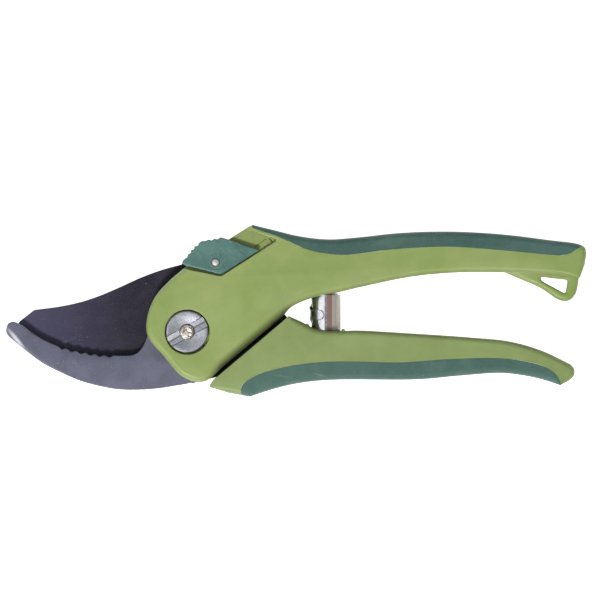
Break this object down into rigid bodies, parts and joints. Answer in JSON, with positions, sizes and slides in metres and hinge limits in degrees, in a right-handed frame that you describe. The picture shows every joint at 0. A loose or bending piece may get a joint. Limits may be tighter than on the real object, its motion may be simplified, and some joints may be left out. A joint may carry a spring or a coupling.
{
  "type": "pruning shears",
  "caption": "Bypass pruning shears, closed and locked, with soft-backed plastic handles, a serrated hook, a coated blade, a slotted pivot nut, a volute spring and a slide lock.",
  "frame": {"origin": "on the pivot's axis, in the plane that the tool's back lies on (the rear face of the pivot bolt's head)", "axes": "+X along the handles towards their tails, +Y towards the upper handle, across the tool, +Z along the pivot out of the tool's front, which is up when it lies on its back"},
  "size_m": [0.2089, 0.0618, 0.0175],
  "materials": {
    "green_moulding": "satin light-green glass-filled nylon with a fine moulded grain",
    "soft_grip": "matte dark-green soft overmould",
    "lock_plastic": "satin dark-green plastic",
    "hook_steel": "fine speckled grey coating on steel",
    "coated_blade": "smooth dark non-stick coating on steel",
    "plated_steel": "bright zinc-plated steel"
  },
  "bodies": {
    "upper": {"upper_handle": "green_moulding", "upper_grip": "soft_grip", "hook_jaw": "hook_steel", "pivot_bolt": "plated_steel", "wave_washer": "plated_steel", "pivot_nut": "plated_steel", "volute_spring": "plated_steel"},
    "lower": {"lower_handle": "green_moulding", "lower_grip": "soft_grip", "cutting_blade": "coated_blade"},
    "lock": {"lock_slider": "lock_plastic", "lock_pin": "plated_steel"}
  },
  "joints": [
    {"name": "handle_pivot", "type": "hinge", "parent": "upper", "child": "lower", "pos_m": [0, 0, 0], "axis": [0, 0, -1], "range_deg": [0, 26], "deforming": ["volute_spring"]},
    {"name": "lock_slide", "type": "slide", "parent": "upper", "child": "lock", "axis": [0.843, 0.538, 0], "range_m": [0, 0.0066]}
  ]
}
